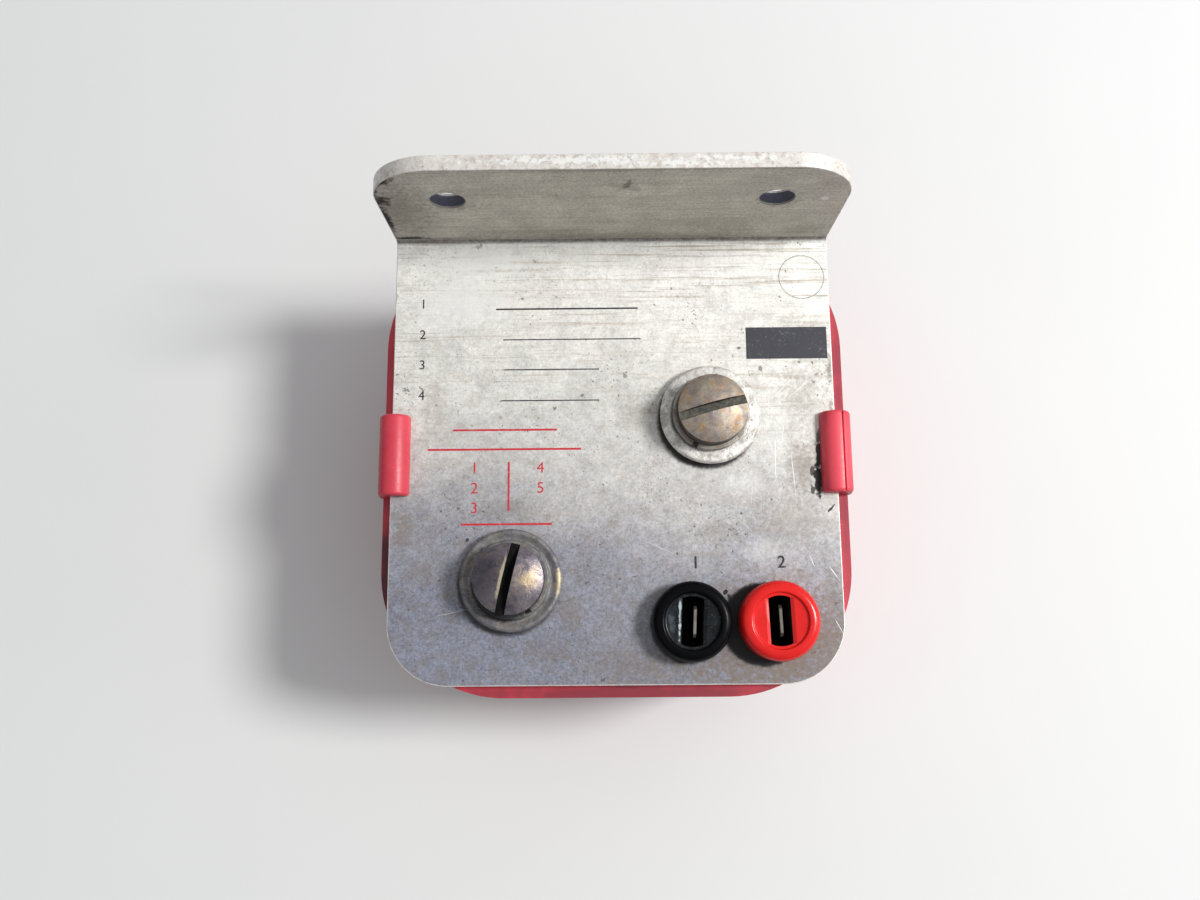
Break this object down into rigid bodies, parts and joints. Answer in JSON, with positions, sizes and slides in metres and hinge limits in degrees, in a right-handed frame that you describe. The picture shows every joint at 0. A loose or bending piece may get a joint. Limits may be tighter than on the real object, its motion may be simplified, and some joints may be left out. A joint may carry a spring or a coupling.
{
  "type": "starting vibrator",
  "caption": "Aircraft starting vibrator: an interrupter buzzer in a moulded housing that clips on, hung on rubber from a folded sheet bracket, with push-on terminals.",
  "frame": {"origin": "midway between the two flange holes, on the flange's outer face", "axes": "+Z out of the face plate's front, which carries the screws and terminals; +Y out of the flange's outer face; X across the plate"},
  "size_m": [0.074, 0.0749, 0.0613],
  "materials": {
    "aluminium_sheet": "rolled, worn",
    "red_moulding": "moulded, semi-matt",
    "steel_tarnished": "plated, tarnished",
    "steel_grey": "plated, worn",
    "steel_zinc": "zinc plated",
    "spring_steel": "blued spring steel",
    "magnet_iron": "black oxide",
    "rubber_black": "matt",
    "black_insulator": "glossy moulded",
    "red_insulator": "glossy moulded",
    "brass": "bright",
    "phenolic": "brown laminate",
    "enamelled_copper": "enamelled copper wire",
    "silver_tungsten": "contact metal",
    "tinned_can": "drawn can",
    "red_wire": "insulated lead",
    "black_wire": "insulated lead",
    "natural_wire": "insulated lead"
  },
  "bodies": {
    "root": {"mounting_plate": "aluminium_sheet", "housing": "red_moulding", "upper_screw": "steel_tarnished", "upper_lock_washer": "steel_grey", "upper_flat_washer": "steel_zinc", "upper_grommet": "rubber_black", "upper_spacer": "steel_zinc", "upper_nut": "steel_zinc", "lower_screw": "steel_grey", "lower_lock_washer": "steel_grey", "lower_flat_washer": "steel_grey", "lower_grommet": "rubber_black", "lower_spacer": "steel_zinc", "lower_nut": "steel_zinc", "output_insulator": "black_insulator", "output_blade": "brass", "output_retainer": "spring_steel", "input_insulator": "red_insulator", "input_blade": "brass", "input_retainer": "spring_steel", "chassis": "steel_zinc", "yoke": "magnet_iron", "core": "magnet_iron", "bobbin": "phenolic", "winding": "enamelled_copper", "coil_tag": "brass", "coil_end": "enamelled_copper", "leaf_spring": "spring_steel", "spring_clamp": "steel_zinc", "yoke_screws": "steel_grey", "contact_bracket": "brass", "bracket_strip": "phenolic", "bracket_bushings": "phenolic", "bracket_screws": "steel_grey", "contact_screw": "brass", "lock_nut": "brass", "fixed_contact": "silver_tungsten", "condenser": "tinned_can", "condenser_strap": "steel_zinc", "strap_screw": "steel_grey", "input_lead": "red_wire", "output_lead": "black_wire", "condenser_lead": "natural_wire"},
    "armature_lever": {"armature": "magnet_iron", "armature_rivets": "steel_zinc", "moving_contact": "silver_tungsten"}
  },
  "joints": [
    {"name": "armature_swing", "type": "hinge", "parent": "root", "child": "armature_lever", "pos_m": [0.00975, -0.04444, -0.02739], "axis": [0, 1, 0], "range_deg": [0, 2.4], "stiffness_Nm_per_rad": 0.8, "deforming": ["leaf_spring"]}
  ]
}
